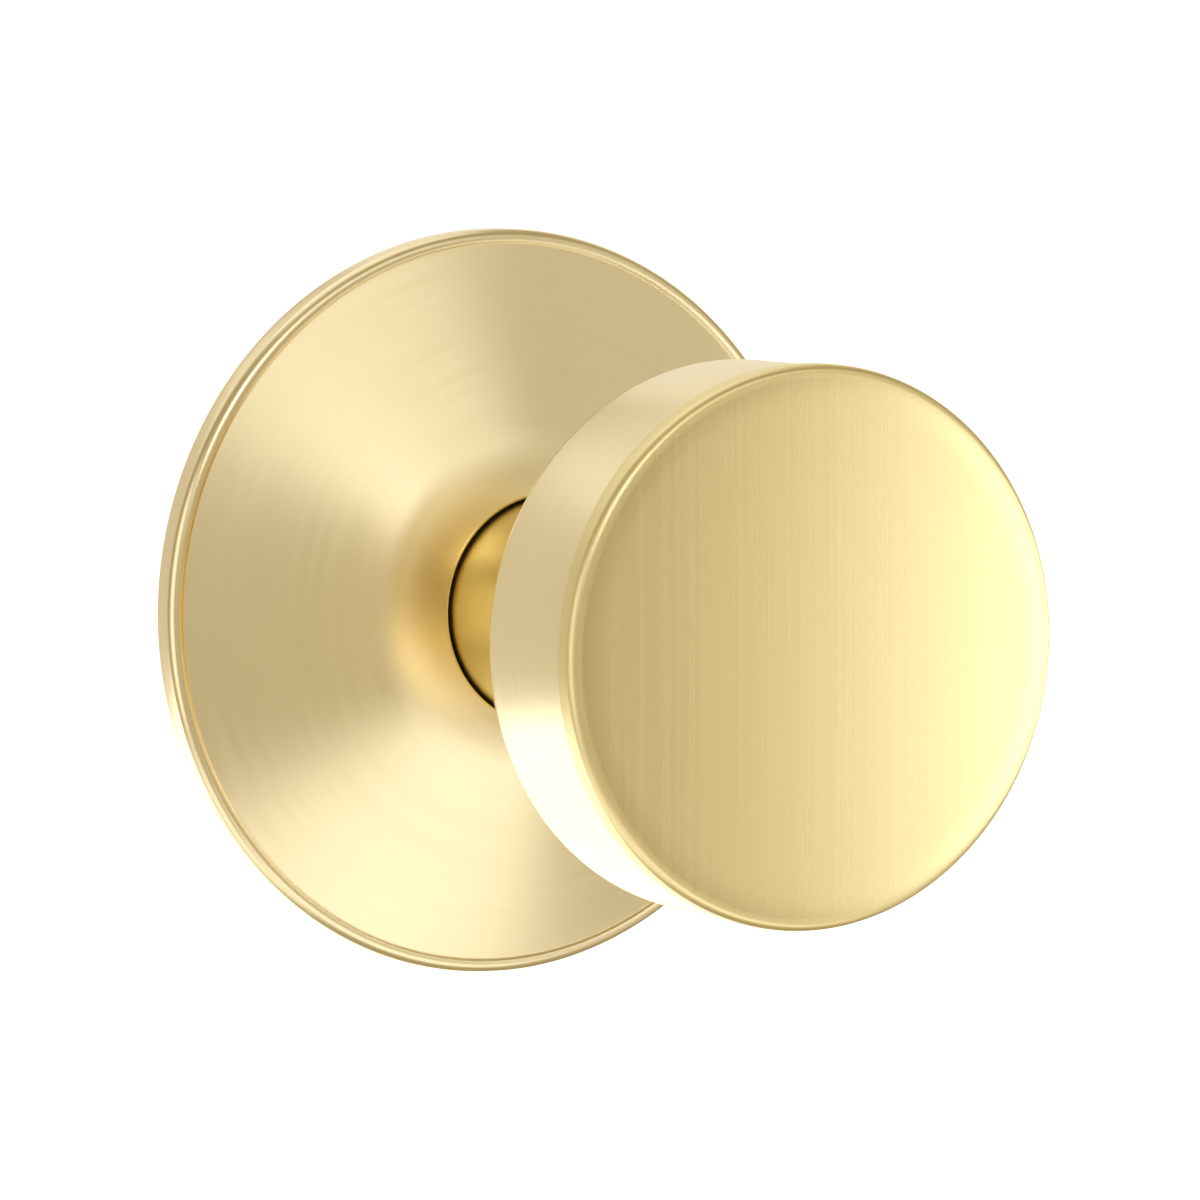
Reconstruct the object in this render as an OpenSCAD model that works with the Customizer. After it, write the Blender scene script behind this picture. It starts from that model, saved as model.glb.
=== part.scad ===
// Round drum knob on a conical rose, the outside half of a passage set.
// The knob's axis leaves the door along -Y, the door's face is the plane y = 0,
// and the origin is where the axis meets that face. +Z is up.
// Every module is drawn with its own z axis pointing out of the door.

/* [Rose] */
// Radius of the rose
rose_r = 33; // [32.8:0.1:36]
// Sheet thickness of the rose
rose_wall = 0.9; // [0.7:0.05:1]
// Height of the rose's rim
rim_h = 2.6; // [2.5:0.1:3]
// Radius where the cone turns into the flatter crown
crown_r = 14.5; // [13:0.1:16]
// Height of that turn above the door
crown_z = 9.7; // [9.5:0.1:11]
// Height of the opening above the door
opening_z = 10.6; // [10.4:0.1:12]
// Gap between the neck and the edge of the opening
opening_gap = 0.55; // [0.3:0.05:0.8]

/* [Knob] */
// Radius of the cap on the front of the drum
face_r = 23.5; // [22:0.1:26]
// Distance of the cap's edge from the door
face_z = 54.6; // [53:0.1:60]
// Height of the dome on the cap
face_crown = 0.4; // [0.1:0.1:1]
// Rounding of the cap's edge
face_round = 1.3; // [0.8:0.1:1.8]
// How far the cap stands proud of the side wall
face_proud = 0.2; // [0.1:0.05:0.4]
// Depth of the drum from the cap's edge to the rear edge
drum_depth = 14.6; // [13:0.1:18]
// Rounding of the drum's rear edge
rear_round = 1.4; // [1:0.1:2]
// Slope of the drum's back towards the neck, in degrees
back_slope = 15; // [5:1:20]
// Outer radius of the neck
neck_r = 9.75; // [9.7:0.05:10]
// Radius of the flare where the neck meets the drum
flare_r = 4.6; // [3.5:0.1:5]
// Sheet thickness of the knob's drawn parts
shell_wall = 0.75; // [0.6:0.05:0.8]

/* [Door] */
// Diameter of the cross bore that the chassis sits in
cross_bore_d = 54; // [54:0.1:56]
// Distance between the two through bolts
bolt_spacing = 31.75; // [31:0.25:34]
// Length of the threaded posts behind the door's face
post_len = 22; // [16:0.5:22]
// Length of the spindle behind the door's face
spindle_len = 44; // [36:0.5:44]

/* [Turning] */
// Largest turn of the knob to either side, in degrees
turn_limit = 60; // [40:1:62]
// Travel of the catch that holds the knob on
catch_travel = 1.4; // [1.35:0.05:1.5]

/* [Hidden] */
$fn = 96;

BRASS = [0.84, 0.73, 0.46];
ZINC = [0.74, 0.76, 0.78];
STEEL = [0.56, 0.58, 0.60];
CASTING = [0.62, 0.62, 0.61];
BRONZE = [0.72, 0.52, 0.30];
NYLON = [0.90, 0.89, 0.85];

// Overlap that makes cuts clean, and gap between nested pieces of one body
cut = 0.1;
snug = 0.03;
// Radial clearance of the turning fits
turning = 0.05;

// Rose
opening_r = neck_r + opening_gap;
lip_len = 1.2;
lip_round = 0.5;
rim_round = 0.9;
step_w = 0.35;
step_drop = 0.2;
cone_r = rose_r - rim_round - step_w;
cone_z = rim_h - step_drop;
cone_slope = (crown_z - cone_z) / (cone_r - crown_r);
// Height under the rose's sheet at a radius on the cone
function under_rose(r) = crown_z - cone_slope * (r - crown_r)
    - rose_wall * sqrt(1 + cone_slope * cone_slope);

// Base plate and what is fixed to it
spigot_r = cross_bore_d / 2 - 0.4;
spigot_h = 3;
spigot_wall = 1.4;
plate_r = spigot_r + 2;
plate_t = 1.5;
window_circle_r = 21.6;
window_angles = [30, 150, 270];
window_r = 2.6;
post_r = 2.9;
post_head_r = 3.9;
post_head_h = 0.8;
post_bore_r = 1.7;
post_bore_depth = 19;
post_chamfer = 0.4;
cage_r = 12.6;
cage_wall = 1.1;
cage_h = 10;
cage_floor = 1.2;
flange_r = 18;
flange_t = 1.2;
rivet_circle_r = 15.2;
rivet_angles = [90, 210, 330];
rivet_r = 1.15;
rivet_head_r = 2;
rivet_head_h = 0.7;
bush_r = 9.55;
bush_back = 0.3;
bush_flange_r = 11.6;
bush_flange_t = 1.1;

// Drive tube and what turns with it
tube_r = 8.2;
tube_bore_r = 7;
tube_back = 13;
tube_front = 33;
ring_groove_r = 7.7;
ring_t = 0.9;
ring_z = -11.95;
ring_r = 10.2;
ring_gap_w = 5;
washer_z = -10.85;
washer_t = 0.7;
washer_r = 11;
driver_z = -2;
driver_t = 1.4;
driver_r = 10.3;
lug_r = 11.3;
lug_angle = 24;
// The end stop starts a little beyond the lug's place at the limit
stop_free = 1.5;
stop_angle = 2 * (turn_limit + stop_free) + lug_angle;
stop_r = 10.45;
stop_h = 2;
stop_z = -2.2;
spindle_r = 3.95;
spindle_flat = 3.05;
spindle_front = 7;
spindle_groove_z = -14.6;
spindle_groove_w = 1;
spindle_groove_depth = 0.4;
spindle_chamfer = 0.6;
hub_len = 16;
hub_gap = 0.05;
pin_z = 4.5;
pin_r = 1;
pin_bore_r = 0.55;
pin_slit = 0.35;

// Return spring: one leg in the cage's floor, the other in the driver
spring_r = 9.45;
spring_wire_r = 0.5;
spring_hole_r = 0.6;
spring_turns = 4;
spring_steps = 24;
spring_angle = 270;
spring_back_z = -8.1;
spring_front_z = -2.75;
leg_back_z = -9.7;
leg_front_z = -0.9;

// Knob
cup_r = face_r - face_proud;
cup_bore_r = cup_r - shell_wall;
seam_z = face_z - face_round - 0.9;
seam_gap = 0.05;
rear_z = face_z - drum_depth;
rear_centre = [cup_r - rear_round, rear_z + rear_round];
back_edge = rear_centre + rear_round * [sin(back_slope), -cos(back_slope)];
flare_end_r = neck_r + flare_r - flare_r * sin(back_slope);
flare_end_z = back_edge.y - (back_edge.x - flare_end_r) * tan(back_slope);
flare_centre = [neck_r + flare_r, flare_end_z - flare_r * cos(back_slope)];
collar_r = flare_end_r - 0.05;
collar_h = 1.8;
collar_bore_r = collar_r - shell_wall;
collar_angle = acos((collar_bore_r - flare_centre.x) / (flare_r + shell_wall));
neck_z = 7.4;
cap_wall = 0.9;
cap_skirt_r = cup_bore_r - snug;
cap_skirt_h = 2.8;
shank_r = neck_r - shell_wall - snug;
shank_back = 7.8;
shank_front = 45.2;
core_z = 43.6;
core_t = 1.2;
core_hub_r = 10.2;
core_hub_z = 39.7;
core_rim_wall = 0.9;
core_hole_r = 3;
core_hole_circle_r = 15.8;

// Catch
catch_z = 18.5;
catch_lug_r = 1.5;
catch_hole_r = 1.62;
catch_tip = neck_r - 0.2;
catch_tip_round = 0.5;
catch_w = 5.2;
catch_len = 6.2;
catch_bottom = 6.3;
catch_top = 4.6;
catch_boss_r = 1.1;
catch_boss_h = 1.2;
coil_r = 1.6;
coil_wire_r = 0.25;
coil_turns = 7;
coil_steps = 14;
coil_low = -catch_top + coil_wire_r + 0.05;
coil_high = 6.4;

// Turns a piece that is drawn along z so that it points out of the door
module out_of_door() rotate([90, 0, 0]) children();

// Points of an arc about c, from one angle to another
function arc(c, r, from, to, n = 6) =
    [for (i = [0 : n]) let (a = from + (to - from) * i / n) c + r * [cos(a), sin(a)]];

// Solid of revolution about z from an outline of [radius, height] points
module lathe(outline) rotate_extrude() polygon(outline);

// Ring between two radii that starts at height z
module ring(r, bore_r, z, h)
    translate([0, 0, z])
    difference() {
        cylinder(r = r, h = h);
        translate([0, 0, -cut]) cylinder(r = bore_r, h = h + 2 * cut);
    }

// Part of a ring, from one angle over a spread of degrees
module ring_part(r, bore_r, z, h, from, spread)
    translate([0, 0, z])
    rotate([0, 0, from])
    rotate_extrude(angle = spread)
    translate([bore_r, 0])
    square([r - bore_r, h]);

// Round hole from the axis down through everything below it
module hole_down(r, z)
    translate([0, 0, z]) rotate([90, 0, 0]) cylinder(r = r, h = 2 * neck_r);

// Round hole right through, along x
module hole_across(r, z)
    translate([-2 * neck_r, 0, z]) rotate([0, 90, 0]) cylinder(r = r, h = 4 * neck_r);

function unit(v) = v / norm(v);

// Next sideways direction along a wire, turned as little as the bend allows
function carried(side, along) = unit(side - (side * along) * along);

// Round wire along a list of points
module wire(points, r, sides = 8) {
    last = len(points) - 1;
    along = [for (i = [0 : last]) unit(points[min(i + 1, last)] - points[max(i - 1, 0)])];
    first = carried(abs(along[0].z) > 0.9 ? [1, 0, 0] : [0, 0, 1], along[0]);
    side = [for (i = 0, s = first; i <= last; i = i + 1, s = carried(s, along[min(i, last)])) s];
    rim = [for (i = [0 : last], k = [0 : sides - 1])
        let (a = 360 * k / sides)
        points[i] + r * (cos(a) * side[i] + sin(a) * cross(along[i], side[i]))];
    walls = [for (i = [0 : last - 1], k = [0 : sides - 1])
        let (next = (k + 1) % sides, a = i * sides)
        [a + k, a + sides + k, a + sides + next, a + next]];
    back_end = [[for (k = [0 : sides - 1]) k]];
    front_end = [[for (k = [sides - 1 : -1 : 0]) last * sides + k]];
    polyhedron(points = rim, faces = concat(walls, back_end, front_end));
}

// Point at an angle and height on a helix
function on_helix(r, angle, z) = [r * cos(angle), r * sin(angle), z];

module rose() {
    inner_r = rose_r - rose_wall;
    color(BRASS)
    out_of_door()
    lathe(concat(
        [[rose_r, 0]],
        arc([rose_r - rim_round, rim_h - rim_round], rim_round, 0, 90),
        [[cone_r + step_w / 2, rim_h], [cone_r, cone_z], [crown_r, crown_z]],
        arc([opening_r + lip_round, opening_z - lip_round], lip_round, 90, 180, 4),
        [[opening_r, opening_z - lip_round - lip_len],
         [opening_r + rose_wall, opening_z - lip_round - lip_len],
         [opening_r + rose_wall, opening_z - rose_wall - 0.1],
         [crown_r, under_rose(crown_r)],
         [inner_r, under_rose(inner_r)],
         [inner_r, 0]]));
}

module rose_liner() {
    outer_r = rose_r - rose_wall - 0.15;
    seat_r = plate_r + 0.1;
    lip_r = plate_r - 1.8;
    lip_z = plate_t + 0.1;
    foot_z = 0.2;
    under_gap = 0.25;
    slot_w = 7;
    color(NYLON)
    out_of_door()
    difference() {
        lathe([[seat_r, foot_z],
            [outer_r, foot_z],
            [outer_r, under_rose(outer_r) - under_gap],
            [lip_r, under_rose(lip_r) - under_gap],
            [lip_r, lip_z],
            [seat_r, lip_z]]);
        for (a = rivet_angles)
            rotate([0, 0, a])
            translate([seat_r - cut, -slot_w / 2, 0])
            cube([rose_r - seat_r, slot_w, foot_z + 0.6]);
    }
}

module base_plate()
    color(ZINC)
    out_of_door()
    difference() {
        union() {
            cylinder(r = plate_r, h = plate_t);
            ring(spigot_r, spigot_r - spigot_wall, -spigot_h, spigot_h + cut);
        }
        translate([0, 0, -cut]) cylinder(r = bush_r + snug, h = plate_t + 2 * cut);
        for (x = [-1, 1])
            translate([x * bolt_spacing / 2, 0, -cut]) cylinder(r = post_r + snug, h = plate_t + 2 * cut);
        for (a = rivet_angles)
            rotate([0, 0, a])
            translate([rivet_circle_r, 0, -cut])
            cylinder(r = rivet_r + snug, h = plate_t + 2 * cut);
        for (a = window_angles)
            rotate([0, 0, a])
            translate([window_circle_r, 0, -cut])
            cylinder(r = window_r, h = plate_t + 2 * cut);
    }

// Threaded post, side is -1 on the left and 1 on the right
module threaded_post(side)
    color(ZINC)
    out_of_door()
    translate([side * bolt_spacing / 2, 0, 0])
    difference() {
        lathe([[0, -post_len],
            [post_r - post_chamfer, -post_len],
            [post_r, post_chamfer - post_len],
            [post_r, plate_t],
            [post_head_r, plate_t],
            [post_head_r, plate_t + post_head_h - post_chamfer],
            [post_head_r - post_chamfer, plate_t + post_head_h],
            [0, plate_t + post_head_h]]);
        translate([0, 0, -post_len - cut]) cylinder(r = post_bore_r, h = post_bore_depth + cut);
    }

module post_left() threaded_post(-1);

module post_right() threaded_post(1);

module spring_cage()
    color(CASTING)
    out_of_door()
    difference() {
        union() {
            ring(cage_r, cage_r - cage_wall, -cage_h, cage_h);
            ring(cage_r, tube_r + turning, -cage_h, cage_floor);
            ring(flange_r, cage_r - cage_wall, -flange_t, flange_t);
            ring_part(cage_r - cage_wall / 2, stop_r, stop_z, stop_h,
                90 + stop_angle / 2, 360 - stop_angle);
        }
        for (x = [-1, 1])
            translate([x * bolt_spacing / 2, 0, -flange_t - cut])
            cylinder(r = post_r + 0.25, h = flange_t + 2 * cut);
        for (a = rivet_angles)
            rotate([0, 0, a])
            translate([rivet_circle_r, 0, -flange_t - cut])
            cylinder(r = rivet_r + snug, h = flange_t + 2 * cut);
        translate(on_helix(spring_r, spring_angle, -cage_h - cut))
        cylinder(r = spring_hole_r, h = cage_floor + 2 * cut);
    }

module cage_rivets() {
    dome_r = (rivet_head_r * rivet_head_r + rivet_head_h * rivet_head_h) / (2 * rivet_head_h);
    dome_angle = asin(rivet_head_r / dome_r);
    color(STEEL)
    out_of_door()
    for (a = rivet_angles)
        rotate([0, 0, a])
        translate([rivet_circle_r, 0, 0])
        lathe(concat(
            arc([0, dome_r - flange_t - rivet_head_h], dome_r, -90, dome_angle - 90),
            [[rivet_r, -flange_t], [rivet_r, plate_t], [rivet_head_r, plate_t],
             [rivet_head_r - 0.3, plate_t + rivet_head_h], [0, plate_t + rivet_head_h]]));
}

module hub_bush()
    color(BRONZE)
    out_of_door()
    difference() {
        union() {
            translate([0, 0, -bush_back]) cylinder(r = bush_r, h = bush_back + plate_t + cut);
            translate([0, 0, plate_t]) cylinder(r = bush_flange_r, h = bush_flange_t);
        }
        translate([0, 0, -bush_back - cut])
        cylinder(r = tube_r + turning, h = bush_back + plate_t + bush_flange_t + 2 * cut);
    }

module return_spring() {
    steps = spring_turns * spring_steps;
    rise = spring_front_z - spring_back_z;
    color(STEEL)
    out_of_door()
    wire(concat(
        [on_helix(spring_r, spring_angle, leg_back_z)],
        [for (i = [0 : steps])
            on_helix(spring_r, spring_angle + 360 * i / spring_steps, spring_back_z + rise * i / steps)],
        [on_helix(spring_r, spring_angle, leg_front_z)]),
        spring_wire_r);
}

module knob_face() {
    crown_edge_r = face_r - face_round;
    crown_sphere_r = (crown_edge_r * crown_edge_r + face_crown * face_crown) / (2 * face_crown);
    crown_angle = asin(crown_edge_r / crown_sphere_r);
    color(BRASS)
    out_of_door()
    lathe(concat(
        arc([0, face_z + face_crown - crown_sphere_r], crown_sphere_r, 90, 90 - crown_angle, 8),
        arc([crown_edge_r, face_z - face_round], face_round, 90, 0),
        [[face_r, seam_z + seam_gap],
         [cap_skirt_r, seam_z + seam_gap],
         [cap_skirt_r, seam_z - cap_skirt_h],
         [cap_skirt_r - cap_wall, seam_z - cap_skirt_h],
         [cap_skirt_r - cap_wall, face_z - cap_wall],
         [0, face_z + face_crown - cap_wall]]));
}

module knob_cup()
    color(BRASS)
    out_of_door()
    lathe(concat(
        [[cup_r, seam_z]],
        arc(rear_centre, rear_round, 0, back_slope - 90),
        [[flare_end_r, flare_end_z],
         [flare_end_r, flare_end_z + shell_wall / cos(back_slope)]],
        arc(rear_centre, rear_round - shell_wall, back_slope - 90, 0),
        [[cup_bore_r, seam_z]]));

module knob_neck()
    color(BRASS)
    out_of_door()
    difference() {
        lathe(concat(
            [[neck_r, neck_z]],
            arc(flare_centre, flare_r, 180, 90 + back_slope),
            [[collar_r, flare_end_z + 0.02],
             [collar_r, flare_end_z + collar_h],
             [collar_bore_r, flare_end_z + collar_h]],
            arc(flare_centre, flare_r + shell_wall, collar_angle, 180),
            [[neck_r - shell_wall, neck_z]]));
        hole_down(catch_hole_r, catch_z);
    }

module knob_shank()
    color(STEEL)
    out_of_door()
    difference() {
        ring(shank_r, tube_r + turning, shank_back, shank_front - shank_back);
        hole_down(catch_hole_r, catch_z);
    }

module knob_core() {
    rim_r = cup_bore_r - snug;
    rim_top = seam_z - cap_skirt_h - 0.1;
    color(STEEL)
    out_of_door()
    difference() {
        union() {
            ring(core_hub_r, shank_r + snug, core_hub_z, shank_front - core_hub_z);
            ring(rim_r, shank_r + snug, core_z, core_t);
            ring(rim_r, rim_r - core_rim_wall, core_z, rim_top - core_z);
        }
        for (i = [0 : 5])
            rotate([0, 0, 60 * i])
            translate([core_hole_circle_r, 0, core_z - cut])
            cylinder(r = core_hole_r, h = core_t + 2 * cut);
    }
}

module drive_tube()
    color(STEEL)
    out_of_door()
    difference() {
        ring(tube_r, tube_bore_r, -tube_back, tube_back + tube_front);
        ring(tube_r + cut, ring_groove_r, ring_z - snug, ring_t + 2 * snug);
        hole_down(catch_hole_r, catch_z);
        hole_across(pin_r + snug, pin_z);
    }

module spring_driver()
    color(STEEL)
    out_of_door()
    difference() {
        union() {
            ring(driver_r, tube_r + snug, driver_z, driver_t);
            ring_part(lug_r, driver_r - 0.8, driver_z, driver_t, 90 - lug_angle / 2, lug_angle);
        }
        translate(on_helix(spring_r, spring_angle, driver_z - cut))
        cylinder(r = spring_hole_r, h = driver_t + 2 * cut);
    }

module thrust_washer()
    color(BRONZE)
    out_of_door()
    ring(washer_r, tube_r + snug, washer_z, washer_t);

module retaining_ring()
    color(STEEL)
    out_of_door()
    difference() {
        ring(ring_r, ring_groove_r + snug, ring_z, ring_t);
        translate([-ring_gap_w / 2, 0, ring_z - cut]) cube([ring_gap_w, 2 * ring_r, ring_t + 2 * cut]);
    }

// Round bar with one flat, grown by a gap so that it can also cut its own seat
module d_bar(back, front, gap)
    difference() {
        translate([0, 0, back]) cylinder(r = spindle_r + gap, h = front - back);
        translate([-spindle_r - 1, spindle_flat + gap, back - cut])
        cube([2 * spindle_r + 2, spindle_r, front - back + 2 * cut]);
    }

module spindle_hub()
    color(CASTING)
    out_of_door()
    difference() {
        translate([0, 0, -hub_len / 2]) cylinder(r = tube_bore_r - snug, h = hub_len);
        d_bar(-hub_len, hub_len, hub_gap);
        hole_across(pin_r + snug, pin_z);
    }

module spindle() {
    tip_r = spindle_r - spindle_chamfer;
    groove_r = spindle_r - spindle_groove_depth;
    color(ZINC)
    out_of_door()
    difference() {
        d_bar(-spindle_len, spindle_front, 0);
        ring(spindle_r + 1, groove_r, spindle_groove_z, spindle_groove_w);
        translate([0, 0, -spindle_len])
        difference() {
            translate([0, 0, -cut]) cylinder(r = spindle_r + 1, h = spindle_chamfer + cut);
            translate([0, 0, -0.001])
            cylinder(r1 = tip_r, r2 = spindle_r + 0.001, h = spindle_chamfer + 0.002);
        }
        hole_across(pin_r + snug, pin_z);
    }
}

module spindle_pin() {
    half_len = tube_r - 0.15;
    color(STEEL)
    out_of_door()
    translate([-half_len, 0, pin_z])
    rotate([0, 90, 0])
    difference() {
        cylinder(r = pin_r, h = 2 * half_len);
        translate([0, 0, -cut]) cylinder(r = pin_bore_r, h = 2 * (half_len + cut));
        translate([0, -pin_slit / 2, -cut]) cube([2 * pin_r, pin_slit, 2 * (half_len + cut)]);
    }
}

module knob_catch()
    color(STEEL)
    out_of_door()
    translate([0, 0, catch_z]) {
        translate([-catch_w / 2, -catch_bottom, -catch_len / 2])
        cube([catch_w, catch_bottom - catch_top, catch_len]);
        rotate([90, 0, 0])
        lathe(concat(
            [[0, catch_top + cut], [catch_lug_r, catch_top + cut]],
            arc([catch_lug_r - catch_tip_round, catch_tip - catch_tip_round], catch_tip_round, 0, 90, 4),
            [[0, catch_tip]]));
        translate([0, catch_boss_h - catch_top, 0])
        rotate([90, 0, 0])
        cylinder(r = catch_boss_r, h = catch_boss_h + cut);
    }

module catch_spring() {
    steps = coil_turns * coil_steps;
    color(STEEL)
    out_of_door()
    translate([0, 0, catch_z])
    wire([for (i = [0 : steps])
        let (a = 360 * i / coil_steps)
        [coil_r * cos(a), coil_low + (coil_high - coil_low) * i / steps, coil_r * sin(a)]],
        coil_wire_r, 6);
}

rose();
rose_liner();
base_plate();
post_left();
post_right();
spring_cage();
cage_rivets();
hub_bush();
return_spring();
knob_face();
knob_cup();
knob_neck();
knob_shank();
knob_core();
drive_tube();
spring_driver();
thrust_washer();
retaining_ring();
spindle_hub();
spindle();
spindle_pin();
knob_catch();
catch_spring();
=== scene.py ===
"""Builds the finished look of a drum door knob on a conical rose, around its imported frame.

The knob's axis leaves the door along -Y and the door's face is the plane y = 0. Sizes are in metres.
Outlines are lists of (radius, out, rounding), where out is the distance in front of the door's face.
"""

import math
from contextlib import contextmanager

import bpy
from bpy.props import FloatProperty, FloatVectorProperty, PointerProperty
from bpy.types import Operator, Panel, PropertyGroup
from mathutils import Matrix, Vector


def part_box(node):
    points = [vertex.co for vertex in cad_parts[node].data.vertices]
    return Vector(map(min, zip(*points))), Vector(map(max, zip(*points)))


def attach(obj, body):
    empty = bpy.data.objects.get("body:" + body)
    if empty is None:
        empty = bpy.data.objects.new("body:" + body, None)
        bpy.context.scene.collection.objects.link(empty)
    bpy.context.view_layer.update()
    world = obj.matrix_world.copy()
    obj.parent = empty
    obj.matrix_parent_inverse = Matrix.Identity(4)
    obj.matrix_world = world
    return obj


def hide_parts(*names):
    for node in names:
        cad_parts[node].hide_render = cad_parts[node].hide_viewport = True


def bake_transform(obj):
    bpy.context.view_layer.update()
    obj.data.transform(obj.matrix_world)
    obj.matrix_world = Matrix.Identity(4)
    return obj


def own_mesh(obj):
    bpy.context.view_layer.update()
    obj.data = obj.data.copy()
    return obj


bl_info = {
    "name": "Drum Door Knob",
    "version": (1, 0, 0),
    "blender": (4, 5, 0),
    "location": "View3D > Sidebar > Door Knob",
    "description": "Builds a drum door knob with its rose, chassis, springs and studio",
    "category": "Add Mesh",
}

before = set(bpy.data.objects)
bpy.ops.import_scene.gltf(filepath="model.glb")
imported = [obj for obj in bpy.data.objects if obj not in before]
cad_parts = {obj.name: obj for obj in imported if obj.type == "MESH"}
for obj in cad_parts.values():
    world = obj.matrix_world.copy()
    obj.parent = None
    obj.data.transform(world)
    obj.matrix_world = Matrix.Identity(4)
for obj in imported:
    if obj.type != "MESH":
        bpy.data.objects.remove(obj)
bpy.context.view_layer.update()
MM = 0.001
# The rivets and the windows of the base plate: angles from +X towards +Z, and the circles they lie on
RIVET_ANGLES = (90, 210, 330)
RIVET_CIRCLE = 15.2 * MM
RIVET_HOLE = 1.18 * MM
WINDOW_ANGLES = (30, 150, 270)
WINDOW_CIRCLE = 21.6 * MM
WINDOW_HOLE = 2.6 * MM
# The catch and the cross pin: how far out they sit, and the radius of their holes
CATCH_OUT = 18.5 * MM
CATCH_HOLE = 1.62 * MM
PIN_OUT = 4.5 * MM
PIN_HOLE = 1.03 * MM
# The return spring's radius, to the middle of its wire
SPRING_RADIUS = 9.45 * MM
# Where a turned outline that should end on the axis ends instead, so that its end can be filled
NEAR_AXIS = 0.05 * MM
# Soft panels: azimuth and elevation in degrees, distance and size in metres, power in watts
PANELS = {
    "right_panel": (62, -5, 0.42, (0.42, 0.2), 0.58),
    "upper_panel": (8, 34, 0.8, (0.5, 0.3), 0.42),
    "upper_left_panel": (-22, 30, 0.8, (0.25, 0.25), 0.8),
    "lower_panel": (15, -44, 0.6, (0.5, 0.35), 0.62),
    "front_fill": (-16, -4, 0.8, (0.45, 0.45), 0.13),
    "upper_right_fill": (52, 28, 0.7, (0.5, 0.3), 0.14),
    "lower_right_fill": (68, -32, 0.6, (0.4, 0.3), 0.08),
    "left_panel": (-68, -2, 0.6, (0.4, 0.6), 0.85),
    "left_lower_panel": (-70, -56, 0.6, (0.6, 0.45), 0.8),
    "rear_left_panel": (-150, 5, 0.8, (0.8, 1.0), 0.9),
    "rear_upper_panel": (-160, 45, 0.8, (0.8, 0.5), 0.6),
    "rear_lower_panel": (-170, -36, 0.8, (1.2, 0.5), 3.0),
    "rear_right_panel": (140, 15, 0.8, (0.7, 0.9), 1.2),
    "top_panel": (180, 75, 0.9, (0.8, 0.8), 1.5),
}
PANEL_COLOUR = (0.92, 0.97, 1.0)
ROOM_COLOUR = (1.0, 0.85, 0.5, 1.0)
ROOM_STRENGTH = 0.42
WHITE = (1.0, 1.0, 1.0, 1.0)


def reach(node):
    """How far a node stands out in front of the door's face."""
    return -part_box(node)[0].y


def depth(node):
    """How far a node goes in behind the door's face."""
    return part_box(node)[1].y


def half_width(node):
    """Largest distance of a round node from the axis."""
    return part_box(node)[1].x


# ---------------------------------------------------------------- sizes and colours


def length(name, description, default):
    """A length property in metres."""
    return FloatProperty(name=name, description=description, default=default, min=0.0, unit="LENGTH")


def angle(name, description, degrees):
    """An angle property, with its default in degrees."""
    return FloatProperty(
        name=name, description=description, default=math.radians(degrees), subtype="ANGLE"
    )


def swatch(name, description, default):
    """A colour property."""
    return FloatVectorProperty(name=name, description=description, default=default, subtype="COLOR")


class RoseSizes(PropertyGroup):
    """Sizes of the rose's spun shell."""

    wall: length("Wall", "Sheet thickness of the rose", 0.9 * MM)
    rim_height: length("Rim height", "Height of the rolled rim", 2.6 * MM)
    rim_rounding: length("Rim rounding", "Rounding of the rim's shoulder", 0.9 * MM)
    step_radius: length("Step radius", "Radius of the fine step inside the rim", 31.75 * MM)
    step_drop: length("Step drop", "Height of the fine step", 0.2 * MM)
    crown_radius: length("Crown radius", "Radius where the cone turns into the crown", 14.5 * MM)
    crown_height: length("Crown height", "Height of that turn", 9.7 * MM)
    crown_rounding: length("Crown rounding", "Radius of that turn", 20 * MM)
    opening_radius: length("Opening radius", "Radius of the opening for the neck", 9.95 * MM)
    lip_length: length("Lip length", "Length of the lip turned into the opening", 1.7 * MM)


class DrumSizes(PropertyGroup):
    """Sizes of the knob's drum and neck."""

    wall: length("Wall", "Sheet thickness of the drum", 0.75 * MM)
    crown: length("Crown", "Height of the dome on the face", 0.4 * MM)
    face_rounding: length("Face rounding", "Rounding of the face's edge", 0.8 * MM)
    skirt: length("Skirt", "Width of the face cap's edge band", 2.15 * MM)
    rear_rounding: length("Rear rounding", "Rounding of the drum's rear edge", 1.4 * MM)
    flare: length("Flare", "Radius of the flare from neck to drum", 4.6 * MM)
    neck_radius: length("Neck radius", "Outer radius of the neck", 9.75 * MM)
    back_slope: angle("Back slope", "Slope of the drum's back", 15)


class FinishSettings(PropertyGroup):
    """Colours and grain of the finishes."""

    brass: swatch("Brass", "Colour of the turned satin brass", (0.87, 0.74, 0.49))
    # The neck's colour is a darker, deeper copy of the turned brass: painted shade for the neck in the
    # recess between drum and rose
    neck_shaded_brass: swatch("Neck brass", "Colour of the neck's brass", (0.76, 0.60, 0.21))
    face_brass: swatch("Face brass", "Colour of the face's brass", (0.86, 0.72, 0.40))
    brass_roughness: FloatProperty(
        name="Brass roughness", description="Roughness of the satin brass", default=0.3, min=0.0, max=1.0
    )
    groove_pitch: length("Groove pitch", "Spacing of the finest brush lines", 0.11 * MM)
    groove_depth: length("Groove depth", "Depth of the finest brush lines", 0.0025 * MM)
    dull_edge: length("Dull edge", "Width of the duller band round the face", 1.2 * MM)


class StudioSettings(PropertyGroup):
    """Camera and floor of the studio."""

    azimuth: angle("Azimuth", "Camera's place round the knob", -30.55)
    elevation: angle("Elevation", "Camera's height above the knob", 4.92)
    distance: length("Distance", "Camera's distance from the rose", 656 * MM)
    sideways: length("Sideways", "Camera's shift to its own right", 9.9 * MM)
    lens: FloatProperty(name="Lens", description="Focal length in millimetres", default=221.7, min=50.0)
    floor_drop: length("Floor drop", "Gap between the rose and the floor", 60 * MM)


# ---------------------------------------------------------------- shader expressions


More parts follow.
